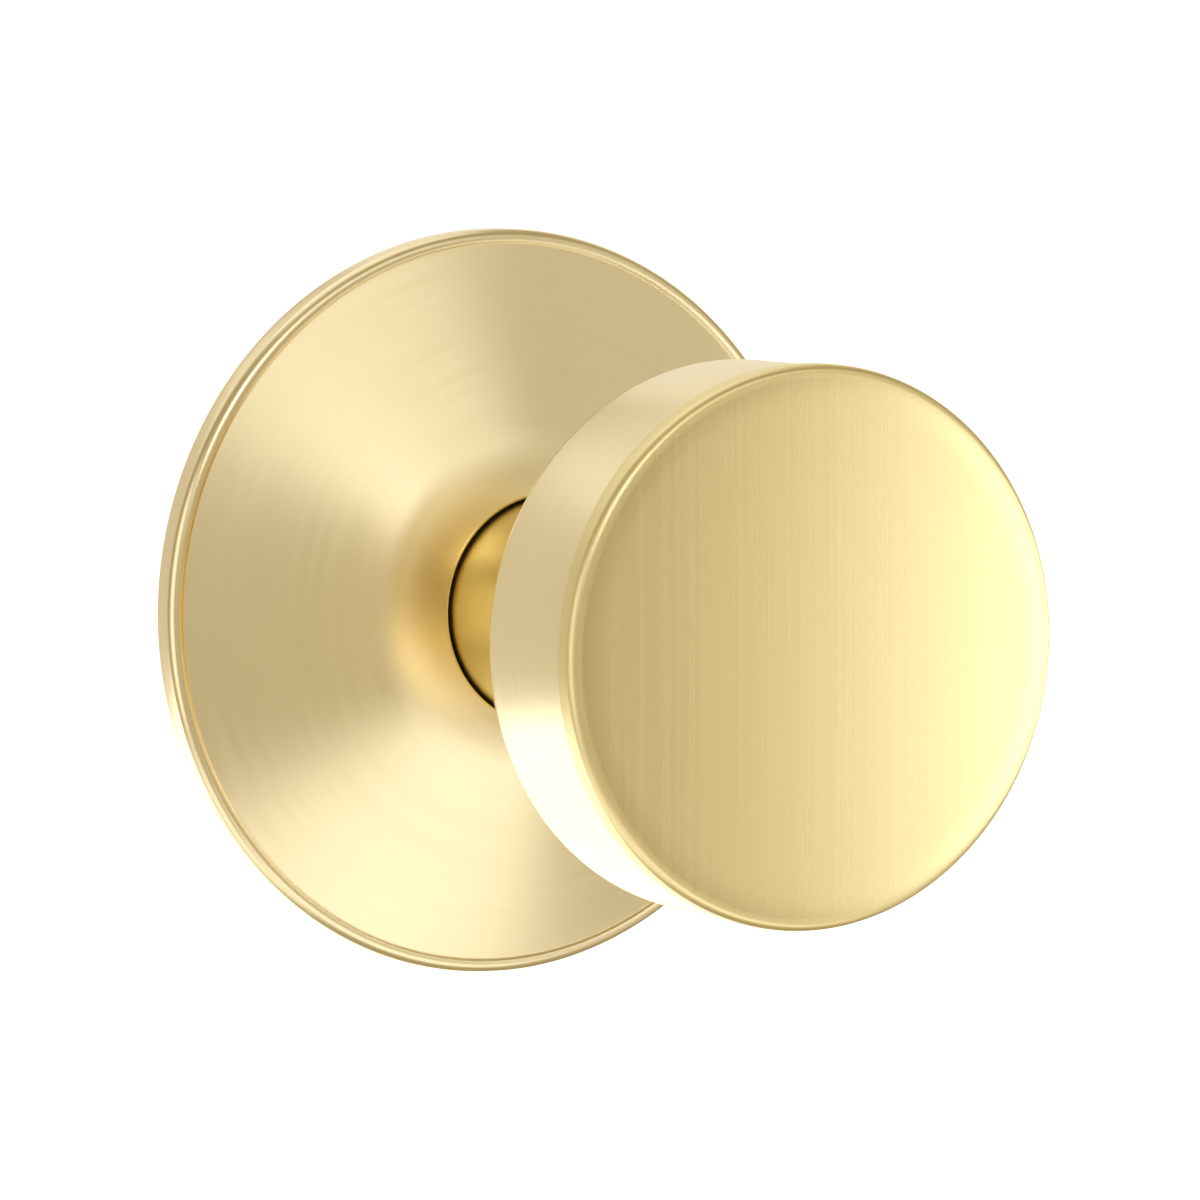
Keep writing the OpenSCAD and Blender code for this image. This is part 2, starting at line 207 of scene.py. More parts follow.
class Signal:
    """A shader socket that can be used in arithmetic."""

    def __init__(self, shader, socket):
        self.shader = shader
        self.socket = socket

    def _math(self, operation, first, second):
        return self.shader.node("ShaderNodeMath", {"operation": operation}, {0: first, 1: second})

    def __add__(self, other):
        return self._math("ADD", self, other)

    def __radd__(self, other):
        return self._math("ADD", other, self)

    def __sub__(self, other):
        return self._math("SUBTRACT", self, other)

    def __rsub__(self, other):
        return self._math("SUBTRACT", other, self)

    def __mul__(self, other):
        return self._math("MULTIPLY", self, other)

    def __rmul__(self, other):
        return self._math("MULTIPLY", other, self)

    def __pow__(self, other):
        return self._math("POWER", self, other)


class Shader:
    """A material's node tree, built from expressions on Signals."""

    def __init__(self, name):
        self.material = bpy.data.materials.new(name)
        self.material.use_nodes = True
        self.tree = self.material.node_tree
        self.tree.nodes.clear()

    def node(self, kind, settings=None, sockets=None, output=0):
        """Adds a node: its settings first, then the value or link of each socket."""
        made = self.tree.nodes.new(kind)
        for key, value in (settings or {}).items():
            setattr(made, key, value)
        for key, value in (sockets or {}).items():
            if isinstance(value, Signal):
                self.tree.links.new(value.socket, made.inputs[key])
            else:
                made.inputs[key].default_value = value
        return Signal(self, made.outputs[output])

    def place(self):
        """Object coordinates as three signals."""
        coordinates = self.node("ShaderNodeTexCoord", output="Object")
        return [self.node("ShaderNodeSeparateXYZ", None, {0: coordinates}, axis) for axis in "XYZ"]

    def vector(self, x, y, z):
        return self.node("ShaderNodeCombineXYZ", None, {0: x, 1: y, 2: z})

    def noise(self, where, detail=2.0, roughness=0.5):
        values = {"Vector": where, "Scale": 1.0, "Detail": detail, "Roughness": roughness}
        return self.node("ShaderNodeTexNoise", None, values)

    def speckle(self, place, cells, detail=2.0, roughness=0.5):
        """Even noise with so many cells in a metre."""
        return self.noise(self.vector(*(axis * cells for axis in place)), detail, roughness)

    def range(self, value, low, high, to_low=0.0, to_high=1.0):
        """value from low..high to to_low..to_high, held at the ends."""
        return self.node(
            "ShaderNodeMapRange", None, {"Value": value, 1: low, 2: high, 3: to_low, 4: to_high}
        )

    def mix(self, factor, first, second):
        return self.node("ShaderNodeMix", {"data_type": "RGBA"}, {0: factor, 6: first, 7: second}, 2)

    def bump(self, height, distance):
        return self.node("ShaderNodeBump", None, {"Height": height, "Distance": distance})

    def surface(self, **sockets):
        """Closes the tree with a Principled shader and gives back the material."""
        named = {key.replace("_", " "): value for key, value in sockets.items()}
        shader = self.node("ShaderNodeBsdfPrincipled", None, named, "BSDF")
        end = self.tree.nodes.new("ShaderNodeOutputMaterial")
        self.tree.links.new(shader.socket, end.inputs["Surface"])
        return self.material


def tint(colour, factor):
    """A colour made lighter or darker, with full alpha."""
    return (*(channel * factor for channel in colour), 1.0)


# ---------------------------------------------------------------- finishes


def turned_brass(name, settings, metal):
    """Satin brass of one metal colour, brushed round the knob's axis."""
    shader = Shader(name)
    x, y, z = place = shader.place()
    radius = (x * x + z * z) ** 0.5
    # Grows along the surface on cone, crown and drum alike
    across = (radius + y * 1.7) * (1 / settings.groove_pitch)
    grooves = shader.noise(shader.vector(across, x * 90, z * 90), 3.0, 0.65)
    bands = shader.noise(shader.vector(across * 0.09, x * 40, z * 40))
    cloud = shader.speckle(place, 28)
    tone = shader.range(bands * 0.4 + cloud * 0.6, 0.3, 0.7)
    rough = settings.brass_roughness
    return shader.surface(
        Base_Color=shader.mix(tone, tint(metal, 0.97), tint(metal, 1.03)),
        Metallic=1.0,
        Roughness=shader.range(bands, 0.25, 0.75, rough - 0.03, rough + 0.03),
        Normal=shader.bump(grooves, settings.groove_depth),
    )


def straight_brass(name, settings):
    """Satin brass brushed in straight upright lines, for the face."""
    shader = Shader(name)
    x, y, z = place = shader.place()
    across = x * (1 / settings.groove_pitch)
    grooves = shader.noise(shader.vector(across, z * 9, y * 9), 1.0)
    lines = shader.noise(shader.vector(across * 0.3, z * 5, y * 5), 2.0, 0.6)
    streak = lines * 0.8 + shader.speckle(place, 40) * 0.2
    tone = shader.range(streak, 0.3, 0.7)
    # The rounded edge is duller than the flat
    edge = half_width("knob_face") - settings.dull_edge
    dull = shader.range((x * x + z * z) ** 0.5, edge, edge + 0.6 * MM, 0.0, 0.14)
    rough = settings.brass_roughness
    return shader.surface(
        Base_Color=shader.mix(tone, tint(settings.face_brass, 0.975), tint(settings.face_brass, 1.015)),
        Metallic=1.0,
        Roughness=shader.range(streak, 0.25, 0.75, rough - 0.045, rough - 0.015) + dull,
        Anisotropic=0.5,
        Normal=shader.bump(grooves, settings.groove_depth * 0.11),
    )


def zinc(name):
    """Clear zinc on pressed steel: a cool satin with faint straw patches and fine scratches."""
    shader = Shader(name)
    x, y, z = place = shader.place()
    cloud = shader.speckle(place, 120, 3.0)
    grain = shader.speckle(place, 2500)
    scratches = shader.noise(shader.vector((x + z) * 6000, (x - z) * 250, y * 250))
    straw = shader.range(cloud, 0.35, 0.7)
    return shader.surface(
        Base_Color=shader.mix(straw, (0.60, 0.62, 0.66, 1), (0.66, 0.63, 0.55, 1)),
        Metallic=1.0,
        Roughness=shader.range(cloud * 0.5 + grain * 0.5, 0.3, 0.7, 0.28, 0.44),
        Normal=shader.bump(grain * 0.6 + scratches * 0.4, 0.01 * MM),
    )


def steel(name):
    """Machined steel with fine tool rings round the knob's axis."""
    shader = Shader(name)
    x, y, z = place = shader.place()
    radius = (x * x + z * z) ** 0.5
    rings = shader.noise(shader.vector((radius + y) * (1 / (0.25 * MM)), x * 60, z * 60))
    cloud = shader.speckle(place, 150, 3.0)
    grey = (0.50, 0.51, 0.53)
    tone = shader.range(cloud, 0.3, 0.7)
    return shader.surface(
        Base_Color=shader.mix(tone, tint(grey, 0.88), tint(grey, 1.06)),
        Metallic=1.0,
        Roughness=shader.range(rings * 0.5 + cloud * 0.5, 0.3, 0.7, 0.26, 0.4),
        Normal=shader.bump(rings, 0.006 * MM),
    )


def casting(name):
    """Tumbled zinc casting: dull grey with shallow pits."""
    shader = Shader(name)
    place = shader.place()
    cloud = shader.speckle(place, 90, 4.0, 0.6)
    pits = shader.speckle(place, 1800, 3.0, 0.6)
    tone = shader.range(cloud, 0.35, 0.65)
    return shader.surface(
        Base_Color=shader.mix(tone, (0.36, 0.37, 0.38, 1), (0.46, 0.46, 0.45, 1)),
        Metallic=1.0,
        Roughness=shader.range(pits * 0.4 + cloud * 0.6, 0.3, 0.7, 0.42, 0.6),
        Normal=shader.bump(pits, 0.04 * MM),
    )


def bronze(name):
    """Oil-filled sintered bronze: brown gold with dark pores."""
    shader = Shader(name)
    place = shader.place()
    cloud = shader.speckle(place, 140, 3.0)
    pores = shader.speckle(place, 3500, 2.0, 0.6)
    open_pore = shader.range(pores, 0.34, 0.42, 1.0, 0.0)
    metal = shader.mix(shader.range(cloud, 0.3, 0.7), (0.44, 0.27, 0.12, 1), (0.58, 0.37, 0.17, 1))
    return shader.surface(
        Base_Color=shader.mix(open_pore, metal, (0.10, 0.06, 0.03, 1)),
        Metallic=1.0,
        Roughness=shader.range(cloud, 0.3, 0.7, 0.34, 0.46) + open_pore * 0.2,
        Normal=shader.bump(1 - open_pore, 0.01 * MM),
    )


def spring_wire(name):
    """Oil-tempered spring wire: dark, with drawing marks and a brown bloom."""
    shader = Shader(name)
    x, y, z = place = shader.place()
    bloom = shader.speckle(place, 260, 3.0)
    marks = shader.noise(shader.vector(x * 1600, y * 5200, z * 1600))
    tone = shader.range(bloom, 0.35, 0.7)
    return shader.surface(
        Base_Color=shader.mix(tone, (0.20, 0.21, 0.23, 1), (0.30, 0.26, 0.21, 1)),
        Metallic=1.0,
        Roughness=shader.range(bloom, 0.3, 0.7, 0.26, 0.4),
        Normal=shader.bump(marks, 0.008 * MM),
    )


def nylon(name):
    """Moulded natural nylon: milky, with a faint flow pattern and a fine spark texture."""
    shader = Shader(name)
    x, y, z = place = shader.place()
    flow = shader.noise(shader.vector(x * 60, y * 160, z * 60), 3.0)
    spark = shader.speckle(place, 4000)
    tone = shader.range(flow, 0.3, 0.7)
    return shader.surface(
        Base_Color=shader.mix(tone, (0.72, 0.70, 0.62, 1), (0.80, 0.78, 0.71, 1)),
        Roughness=shader.range(spark * 0.5 + flow * 0.5, 0.3, 0.7, 0.42, 0.56),
        Subsurface_Weight=0.15,
        Subsurface_Radius=(0.002, 0.002, 0.0015),
        Subsurface_Scale=1.0,
        Normal=shader.bump(spark, 0.01 * MM),
    )


# ---------------------------------------------------------------- modelling


def rounded(corners, steps=6):
    """(radius, out) points through corners of (radius, out, rounding), each turned on an arc."""
    points = []
    for i, (radius, out, rounding) in enumerate(corners):
        here = Vector((radius, out))
        if rounding == 0:
            points.append(here)
            continue
        back = (Vector(corners[i - 1][:2]) - here).normalized()
        ahead = (Vector(corners[(i + 1) % len(corners)][:2]) - here).normalized()
        half = back.angle(ahead) / 2
        centre = here + (back + ahead).normalized() * (rounding / math.sin(half))
        start = (here + back * (rounding / math.tan(half)) - centre).normalized()
        end = (here + ahead * (rounding / math.tan(half)) - centre).normalized()
        side = (end - start * start.dot(end)).normalized()
        sweep = start.angle(end)
        for step in range(steps + 1):
            turn = sweep * step / steps
            points.append(centre + (start * math.cos(turn) + side * math.sin(turn)) * rounding)
    return points


def pick(*pieces):
    """Selects only these pieces, the last one active."""
    bpy.ops.object.select_all(action="DESELECT")
    for piece in pieces:
        piece.select_set(True)
        bpy.context.view_layer.objects.active = piece


@contextmanager
def editing(piece):
    """Edit mode on one piece, with its whole mesh selected."""
    pick(piece)
    bpy.ops.object.mode_set(mode="EDIT")
    bpy.ops.mesh.select_all(action="SELECT")
    yield
    bpy.ops.object.mode_set(mode="OBJECT")


def turned(name, outline, sides=192, closed=True, axis=(0.0, 0.0)):
    """Turns an outline round an axis along Y at (x, z), ring by ring. An open outline gets flat ends."""
    x, z = axis
    outline = [*outline, outline[0]] if closed else outline
    start_radius, start_out = outline[0]
    pick()
    bpy.ops.mesh.primitive_circle_add(
        vertices=sides, radius=start_radius, location=(x, -start_out, z), rotation=(math.pi / 2, 0, 0)
    )
    bpy.ops.object.transform_apply()
    piece = bpy.context.object
    piece.name = name
    with editing(piece):
        for (last_radius, last_out), (radius, out) in zip(outline, outline[1:]):
            grow = radius / last_radius
            bpy.ops.mesh.extrude_region_move(TRANSFORM_OT_translate={"value": (0, last_out - out, 0)})
            bpy.ops.transform.resize(value=(grow, 1, grow), center_override=(x, 0, z))
        bpy.ops.mesh.select_all(action="SELECT")
        bpy.ops.mesh.remove_doubles(threshold=0.001 * MM)
        if not closed:
            bpy.ops.mesh.fill_holes(sides=0)
            bpy.ops.mesh.select_all(action="SELECT")
        bpy.ops.mesh.normals_make_consistent(inside=False)
    return piece


def smooth(piece, degrees=28):
    """Shades a piece smooth, with sharp edges where its faces turn further than this."""
    pick(piece)
    bpy.ops.object.shade_smooth_by_angle(angle=math.radians(degrees))


def combine(piece, tool, operation="DIFFERENCE"):
    """Cuts a tool out of a piece, or joins it on, and removes the tool."""
    pick(piece)
    change = piece.modifiers.new("combine", "BOOLEAN")
    change.operation = operation
    change.solver = "EXACT"
    change.object = tool
    bpy.ops.object.modifier_apply(modifier=change.name)
    pick(tool)
    bpy.ops.object.delete()


def bar(radius, low, high, place=(0.0, 0.0), along="Y", sides=48):
    """Round bar along Y from out low to out high at (x, z), or along X or Z from low to high."""
    middle = (low + high) / 2
    # Turned a little about its own axis, so that its corners miss those of the piece it cuts
    skew = math.radians(1.3)
    centre, turn = {
        "X": ((middle, -place[0], place[1]), (math.pi / 2, skew, math.pi / 2)),
        "Y": ((place[0], -middle, place[1]), (math.pi / 2, skew, 0)),
        "Z": ((place[0], -place[1], middle), (0, 0, skew)),
    }[along]
    pick()
    bpy.ops.mesh.primitive_cylinder_add(
        vertices=sides, radius=radius, depth=abs(high - low), location=centre, rotation=turn
    )
    bpy.ops.object.transform_apply()
    return bpy.context.object


def block(size, centre, turn=0.0):
    """Rectangular block of (x, out, z) size about (x, out, z), turned about the knob's axis."""
    pick()
    bpy.ops.mesh.primitive_cube_add(size=1, location=(centre[0], -centre[1], centre[2]), scale=size)
    bpy.ops.object.transform_apply()
    made = bpy.context.object
    if turn:
        turn_all(made, turn)
    return made


def turn_all(piece, degrees):
    """Turns a mesh about the knob's axis."""
    with editing(piece):
        bpy.ops.transform.rotate(value=math.radians(degrees), orient_axis="Y", center_override=(0, 0, 0))


def drill(piece, radius, low, high, places):
    """Drills round holes along Y at (x, z) places."""
    for place in places:
        combine(piece, bar(radius, low, high, place))


def catch_hole(piece, sides):
    """Drills the catch's hole through the lower wall of a sleeve."""
    combine(piece, bar(CATCH_HOLE, -11 * MM, -5 * MM, (0, CATCH_OUT), "Z", sides))


def pin_hole(piece):
    """Drills the cross pin's hole right through."""
    combine(piece, bar(PIN_HOLE, -11 * MM, 11 * MM, (PIN_OUT, 0), "X"))


def tidy_mesh(piece):
    """Merges doubles and points the faces outwards."""
    with editing(piece):
        bpy.ops.mesh.remove_doubles(threshold=0.0005 * MM)
        bpy.ops.mesh.dissolve_degenerate(threshold=0.0005 * MM)
        bpy.ops.mesh.normals_make_consistent(inside=False)


def round_the_axis(radius, angles):
    """(x, z) places at a radius and at angles in degrees, from +X towards +Z."""
    return [(radius * math.cos(math.radians(a)), radius * math.sin(math.radians(a))) for a in angles]


def coil(name, radius, wire, turns, low, high, steps, sides):
    """Coils a wire round Y from out low to out high, starting straight below the axis."""
    pick()
    bpy.ops.mesh.primitive_circle_add(
        vertices=sides, radius=wire, location=(0, -low, -radius), rotation=(0, math.pi / 2, 0)
    )
    bpy.ops.object.transform_apply()
    piece = bpy.context.object
    piece.name = name
    change = piece.modifiers.new("coil", "SCREW")
    change.axis = "Y"
    change.angle = -2 * math.pi * turns
    change.screw_offset = low - high
    change.steps = change.render_steps = round(steps * turns)
    change.use_merge_vertices = False
    bpy.ops.object.modifier_apply(modifier=change.name)
    return piece


def bend_leg(piece, out, wire, bend, length, side):
    """Bends the wire's end that lies straight below the axis at an out into a leg along the axis.

    side is 1 for the coil's front end and -1 for its rear end.
    """
    pick(piece)
    bpy.ops.object.mode_set(mode="EDIT")
    bpy.ops.mesh.select_mode(type="VERT")
    bpy.ops.mesh.select_all(action="DESELECT")
    bpy.ops.object.mode_set(mode="OBJECT")
    mesh = piece.data
    for vertex in mesh.vertices:
        place = vertex.co
        vertex.select = abs(place.x) < 0.01 * MM and abs(place.y + out) < 1.1 * wire and place.z < 0
    for edge in mesh.edges:
        edge.select = all(mesh.vertices[k].select for k in edge.vertices)
    bpy.ops.object.mode_set(mode="EDIT")
    for _ in range(6):
        bpy.ops.mesh.extrude_region_move()
        bpy.ops.transform.rotate(
            value=math.radians(15), orient_axis="Z", center_override=(0, -out - side * bend, 0)
        )
    bpy.ops.mesh.extrude_region_move(TRANSFORM_OT_translate={"value": (0, -side * length, 0)})
    bpy.ops.object.mode_set(mode="OBJECT")


def close_ends(piece):
    """Fills the open ends of a wire."""
    with editing(piece):
        bpy.ops.mesh.fill_holes(sides=0)
        bpy.ops.mesh.select_all(action="SELECT")
        bpy.ops.mesh.normals_make_consistent(inside=False)


def dress(piece, body, node, material):
    """Finishes a piece: it rides on a body, stands for a CAD node and takes its slot's finish."""
    piece.data.materials.clear()
    piece.data.materials.append(material)
    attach(piece, body)
    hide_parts(node)


class KNOB_OT_rose(Operator):
    """Spin the rose's shell: rolled rim, fine step, cone, crown and turned-in lip"""

    bl_idname = "knob.rose"
    bl_label = "Rose"

    def execute(self, context):
        sizes = context.scene.rose_sizes
        radius = half_width("rose")
        top = reach("rose")
        rise = sizes.crown_height - sizes.rim_height + sizes.step_drop
        slope = rise / (sizes.step_radius - sizes.crown_radius)
        under = sizes.wall * math.hypot(1, slope)
        inner = radius - sizes.wall
        lip = sizes.opening_radius + sizes.wall
        cone_under = sizes.crown_height - under - slope * (inner - sizes.crown_radius)
        outline = [
            (radius, 0, 0.15 * MM),
            (radius, sizes.rim_height, sizes.rim_rounding),
            (sizes.step_radius + 0.18 * MM, sizes.rim_height, 0.1 * MM),
            (sizes.step_radius, sizes.rim_height - sizes.step_drop, 0.15 * MM),
            (sizes.crown_radius, sizes.crown_height, sizes.crown_rounding),
            (sizes.opening_radius, top + 0.08 * MM, 0.3 * MM),
            (sizes.opening_radius, top - sizes.lip_length, 0.2 * MM),
            (lip, top - sizes.lip_length, 0.2 * MM),
            (lip, top - under, 0.2 * MM),
            (sizes.crown_radius, sizes.crown_height - under, sizes.crown_rounding / 2),
            (inner, cone_under, 0.4 * MM),
            (inner, 0, 0.15 * MM),
        ]
        piece = turned("rose_shell", rounded(outline), 256)
        finish = context.scene.finish
        brass = turned_brass("rose_brass", finish, finish.brass)
        smooth(piece)
        dress(piece, "root", "rose", brass)
        self.liner(slope)
        return {"FINISHED"}

    def liner(self, slope):
        """Nylon ring that fills the rim and snaps over the base plate."""
        outer = half_width("rose_liner")
        foot = -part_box("rose_liner")[1].y
        seat = half_width("base_plate") + 0.1 * MM
        lip = seat - 1.9 * MM
        ledge = reach("base_plate") + 0.1 * MM
        top = reach("rose_liner")
        fall = slope * (outer - lip)
        outline = [
            (seat, foot, 0.1 * MM),
            (outer, foot, 0.25 * MM),
            (outer, top - fall, 0.2 * MM),
            (lip, top, 0.2 * MM),
            (lip, ledge, 0.2 * MM),
            (seat, ledge, 0.1 * MM),
        ]
        piece = turned("rose_liner_ring", rounded(outline, 3), 192)
        # Notches that line up with the rivets
        middle = (seat + outer) / 2
        for turn in RIVET_ANGLES:
            combine(piece, block((6 * MM, 1.4 * MM, 7 * MM), (middle, 0.1 * MM, 0), turn))
        tidy_mesh(piece)
        smooth(piece)
        dress(piece, "root", "rose_liner", nylon("liner_nylon"))


class KNOB_OT_drum(Operator):
    """Press the knob's face cap, draw its cup and its flared neck"""

    bl_idname = "knob.drum"
    bl_label = "Drum and neck"

    def face(self, sizes, finish):
        """Cap with a low dome, a rounded edge, a short band and a tongue inside the cup."""
        radius = half_width("knob_face")
        edge = reach("knob_face") - sizes.crown
        seam = edge - sizes.skirt
        tail = -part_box("knob_face")[1].y
        bore = half_width("knob_cup") - sizes.wall
        tongue = bore - 0.03 * MM
        dome_radius = radius - sizes.face_rounding
        pole = 0.4 * MM
        rings = [pole] + [dome_radius * k / 10 for k in range(1, 10)]
        dome = [(r, edge + sizes.crown * (1 - (r / dome_radius) ** 2), 0) for r in rings]
        wall = 0.9 * MM
        outline = dome + [
            (radius, edge - 0.04 * MM, sizes.face_rounding),
            (radius, seam, 0.12 * MM),
            (tongue, seam, 0.1 * MM),
            (tongue, tail, 0.2 * MM),
            (bore - wall, tail, 0.2 * MM),
            (bore - wall, edge - wall, 0.5 * MM),
            (pole, edge + sizes.crown - wall, 0),
        ]
        piece = turned("knob_face_cap", rounded(outline, 8), 256, closed=False)
        smooth(piece)
        dress(piece, "knob", "knob_face", straight_brass("face_brass", finish))

    def execute(self, context):
        sizes = context.scene.drum_sizes
        finish = context.scene.finish
        brass = turned_brass("knob_brass", finish, finish.brass)
        self.face(sizes, finish)
        radius = half_width("knob_cup")
        seam = reach("knob_cup")
        bore = radius - sizes.wall
        slope = sizes.back_slope
        fall = math.tan(slope)
        edge = reach("knob_face") - sizes.crown
        drum_depth = 14.6 * MM
        rear = edge - drum_depth
        # Where the slope of the drum's back would meet its side wall, and where it meets the flare
        bend = sizes.rear_rounding
        corner = rear + bend * (1 - math.cos(slope)) + fall * bend * (1 - math.sin(slope))
        setback = sizes.flare * math.tan(math.pi / 4 - slope / 2)
        flare_end = sizes.neck_radius + setback * math.cos(slope)

        def back(at):
            """How far out the drum's back is at a radius."""
            return corner - fall * (radius - at)

        thick = sizes.wall / math.cos(slope)
        cup_outline = [
            (radius, seam, 0.12 * MM),
            (radius, corner, sizes.rear_rounding),
            (flare_end, back(flare_end), 0.12 * MM),
            (flare_end, back(flare_end) + thick, 0),
            (bore, back(bore) + thick, sizes.rear_rounding - sizes.wall),
            (bore, seam, 0.1 * MM),
        ]
        piece = turned("knob_cup_shell", rounded(cup_outline, 8), 256)
        smooth(piece)
        dress(piece, "knob", "knob_cup", brass)
        tail = -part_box("knob_neck")[1].y
        collar = flare_end - 0.05 * MM
        collar_top = reach("knob_neck")
        inner = sizes.neck_radius - sizes.wall
        neck_outline = [
            (sizes.neck_radius, tail, 0.2 * MM),
            (sizes.neck_radius, back(sizes.neck_radius), sizes.flare),
            (flare_end, back(flare_end), 0),
            (collar, collar_top, 0.1 * MM),
            (collar - sizes.wall, collar_top, 0.1 * MM),
            (collar - sizes.wall, back(collar) + thick, 0),
            (inner, back(inner) + thick, sizes.flare - 0.4 * MM),
            (inner, tail, 0.2 * MM),
        ]
        piece = turned("knob_neck_shell", rounded(neck_outline, 12), 192)
        catch_hole(piece, 64)
        tidy_mesh(piece)
        smooth(piece)
        # Painted shade: the neck takes the darker, deeper copy of the brass
        shaded_neck_brass = turned_brass("neck_shaded_brass", finish, finish.neck_shaded_brass)
        dress(piece, "knob", "knob_neck", shaded_neck_brass)
        return {"FINISHED"}


class KNOB_OT_chassis(Operator):
    """Press the base plate, turn its posts, cast the spring cage and set its rivets"""

    bl_idname = "knob.chassis"
    bl_label = "Chassis"

    def plate(self, bolt):
        """Flat plate with a spigot behind, and holes for posts, rivets and screwdriver windows."""
        radius = half_width("base_plate")
        thick = reach("base_plate")
        spigot = radius - 2 * MM
        wall = 1.4 * MM
        back = -depth("base_plate")
        bore = 9.58 * MM
        outline = [
            (radius, 0, 0.2 * MM),
            (radius, thick, 0.35 * MM),
            (bore, thick, 0.15 * MM),
            (bore, 0, 0.15 * MM),
            (spigot - wall, 0, 0.5 * MM),
            (spigot - wall, back, 0.3 * MM),
            (spigot, back, 0.5 * MM),
            (spigot, 0, 0.3 * MM),
        ]
        piece = turned("base_plate_pressing", rounded(outline, 3), 192)
        drill(piece, 2.93 * MM, -1 * MM, 3 * MM, [(-bolt, 0), (bolt, 0)])
        drill(piece, RIVET_HOLE, -1 * MM, 3 * MM, round_the_axis(RIVET_CIRCLE, RIVET_ANGLES))
        drill(piece, WINDOW_HOLE, -1 * MM, 3 * MM, round_the_axis(WINDOW_CIRCLE, WINDOW_ANGLES))
        tidy_mesh(piece)
        smooth(piece)
        dress(piece, "root", "base_plate", zinc("plate_zinc"))

    def post(self, name, side, bolt):
        """Threaded post with a riveted head; side is -1 for the left one and 1 for the right one."""
        radius = 2.9 * MM
        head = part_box(name)[1].x - side * bolt
        top = reach(name)
        back = -depth(name)
        chamfer = 0.4 * MM
        bore = 1.7 * MM
        pitch = 0.7 * MM
        thread_depth = 0.22 * MM
        axle = 0.02 * MM
        outline = [(axle, back + 19.6 * MM), (bore, back + 19 * MM)]
        for k in range(26):
            out = back + 18.8 * MM - k * pitch
            outline += [
                (bore, out),
                (bore + thread_depth, out - 0.35 * pitch),
                (bore, out - 0.7 * pitch),
            ]
        outline += [
            (bore, back + 0.35 * MM),
            (bore + 0.35 * MM, back),
            (radius - chamfer, back),
            (radius, back + chamfer),
            (radius, reach("base_plate")),
            (head, reach("base_plate")),
            (head, top - chamfer),
            (head - chamfer, top),
            (axle, top),
        ]
        piece = turned(name + "_threaded", outline, 48, closed=False, axis=(side * bolt, 0))
        smooth(piece)
        dress(piece, "root", name, zinc(name + "_zinc"))

    def cage(self, bolt):
        """Cup behind the plate that holds the return spring, with the driver's end stop."""
        bore = 8.25 * MM
        outer = 12.6 * MM
        inner = outer - 1.1 * MM
        thick = 1.2 * MM
        back = -depth("spring_cage")
        flange = half_width("spring_cage")
        outline = [
            (bore, back, 0.25 * MM),
            (outer, back, 1.0 * MM),
            (outer, -thick, 0.4 * MM),
            (flange, -thick, 0.3 * MM),
            (flange, 0, 0.1 * MM),
            (inner, 0, 0.2 * MM),
            (inner, back + thick, 0.4 * MM),
            (bore, back + thick, 0.2 * MM),
        ]
        piece = turned("spring_cage_casting", rounded(outline, 4), 192)
        stop_inner, stop_outer = 10.45 * MM, 12 * MM
        stop_low, stop_high = -2.2 * MM, -0.2 * MM
        stop_outline = [
            (stop_inner, stop_low),
            (stop_outer, stop_low),
            (stop_outer, stop_high),
            (stop_inner, stop_high),
        ]
        stop = turned("stop", stop_outline, 160)
        # The end stop is left out where the driver's lug swings
        for side in (-1, 1):
            beside = (side * 10 * MM, -1 * MM, 10 * MM)
            combine(stop, block((20 * MM, 6 * MM, 20 * MM), beside, side * 16.5))
        combine(piece, stop, "UNION")
        drill(piece, 3.15 * MM, -3 * MM, 1 * MM, [(-bolt, 0), (bolt, 0)])
        drill(piece, RIVET_HOLE, -3 * MM, 1 * MM, round_the_axis(RIVET_CIRCLE, RIVET_ANGLES))
        drill(piece, 0.6 * MM, -12 * MM, -8 * MM, [(0, -SPRING_RADIUS)])
        tidy_mesh(piece)
        smooth(piece)
        dress(piece, "root", "spring_cage", casting("cage_casting"))

    def rivets(self):
        """A dome on the cage's flange, a shank and a button in front of the plate, made once and copied."""
        place = round_the_axis(RIVET_CIRCLE, RIVET_ANGLES[:1])[0]
        # In millimetres
        dome = [(0.02, -1.9), (0.7, -1.84), (1.3, -1.66), (1.75, -1.4), (2.0, -1.2), (1.15, -1.2)]
        front = [(1.15, 1.5), (2.0, 1.5), (2.0, 1.8), (1.9, 2.05), (1.7, 2.2), (0.02, 2.2)]
        outline = [(radius * MM, out * MM) for radius, out in dome + front]
        first = turned("cage_rivet_set", outline, 32, closed=False, axis=place)
        made = [first]
        for turn in (120, 240):
            pick(first)
            bpy.ops.object.duplicate()
            made.append(bpy.context.object)
            turn_all(made[-1], turn)
        pick(*reversed(made))
        bpy.ops.object.join()
        piece = bpy.context.object
        tidy_mesh(piece)
        smooth(piece)
        dress(piece, "root", "cage_rivets", steel("rivet_steel"))

    def execute(self, context):
        bolt = (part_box("post_right")[0].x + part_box("post_right")[1].x) / 2
        self.plate(bolt)
        self.post("post_left", -1, bolt)
        self.post("post_right", 1, bolt)
        self.cage(bolt)
        self.rivets()
        return {"FINISHED"}


